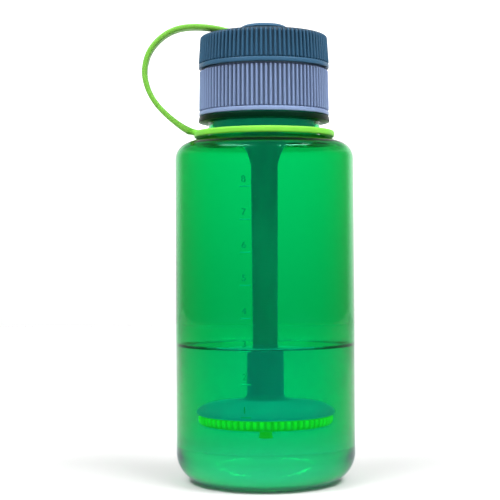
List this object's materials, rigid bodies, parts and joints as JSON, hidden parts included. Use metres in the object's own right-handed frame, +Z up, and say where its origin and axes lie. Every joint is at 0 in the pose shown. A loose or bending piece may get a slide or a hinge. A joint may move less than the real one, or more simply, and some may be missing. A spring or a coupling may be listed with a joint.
{
  "type": "screw-top water bottle",
  "caption": "Rigid clear wide-mouth bottle with a ribbed screw collar, a tethered screw cap and a central stem that ends in a toothed diffuser foot.",
  "frame": {"origin": "centre of the base on the bottle's axis, on the surface that the bottle stands on", "axes": "+Z up along the bottle's axis; the tether loops out towards -X; the volume scale faces -Y"},
  "size_m": [0.1061, 0.09, 0.2296],
  "materials": {
    "bottle": "clear green, polished",
    "insert": "moulded, satin",
    "stem": "moulded, satin",
    "collar": "moulded, satin",
    "cap": "moulded, satin",
    "mouthpiece": "moulded, satin",
    "tether": "soft moulded, satin",
    "seal": "silicone, satin",
    "gasket": "silicone, matte",
    "liner": "foam, matte",
    "cup": "glazed",
    "screen": "brushed"
  },
  "bodies": {
    "bottle": {"bottle_body": "bottle"},
    "lid_insert": {"insert_well": "insert", "rim_gasket": "gasket", "mouthpiece": "mouthpiece", "mouthpiece_grommet": "seal", "inlet_cup": "cup", "cup_sleeve": "seal", "cup_screen": "screen", "stem_tube": "stem", "stem_oring": "gasket", "foot_dome": "stem", "diffuser_ring": "seal"},
    "collar": {"collar_ring": "collar"},
    "button": {"tether_button": "cap", "button_clip": "cap"},
    "cap": {"cap_shell": "cap", "cap_liner": "liner"},
    "tether_ring": {"tether_neck_ring": "tether", "tether_strap_lower": "tether"},
    "strap_bend": {"tether_strap_bend": "tether", "tether_strap_upper": "tether"},
    "hub_ring": {"tether_hub_ring": "tether"}
  },
  "joints": [
    {"name": "lid_lift", "type": "slide", "parent": "bottle", "child": "lid_insert", "axis": [0, 0, 1], "range_m": [0, 0.024]},
    {"name": "collar_twist", "type": "hinge", "parent": "lid_insert", "child": "collar", "pos_m": [0, 0, 0.194], "axis": [0, 0, 1], "range_deg": [0, 1441]},
    {"name": "cap_lift", "type": "slide", "parent": "lid_insert", "child": "button", "axis": [0, 0, 1], "range_m": [0, 0.018]},
    {"name": "cap_twist", "type": "hinge", "parent": "button", "child": "cap", "pos_m": [0, 0, 0.2155], "axis": [0, 0, 1], "range_deg": [0, 1081]},
    {"name": "tether_swing", "type": "hinge", "parent": "bottle", "child": "tether_ring", "pos_m": [0, 0, 0.175], "axis": [0, 0, 1], "continuous": true},
    {"name": "tether_rise_lower", "type": "slide", "parent": "tether_ring", "child": "strap_bend", "axis": [0, 0, 1], "range_m": [0, 0.0245], "deforming": ["tether_strap_lower"]},
    {"name": "tether_rise_upper", "type": "slide", "parent": "strap_bend", "child": "hub_ring", "axis": [0, 0, 1], "range_m": [0, 0.0185], "deforming": ["tether_strap_upper"]}
  ],
  "couplings": [
    {"joint": "collar_twist", "follows": "lid_lift", "rad_per_m": 1047.2},
    {"joint": "tether_rise_lower", "follows": "lid_lift", "ratio": 1},
    {"joint": "cap_twist", "follows": "cap_lift", "rad_per_m": 1047.2},
    {"joint": "tether_rise_upper", "follows": "cap_lift", "ratio": 1}
  ]
}
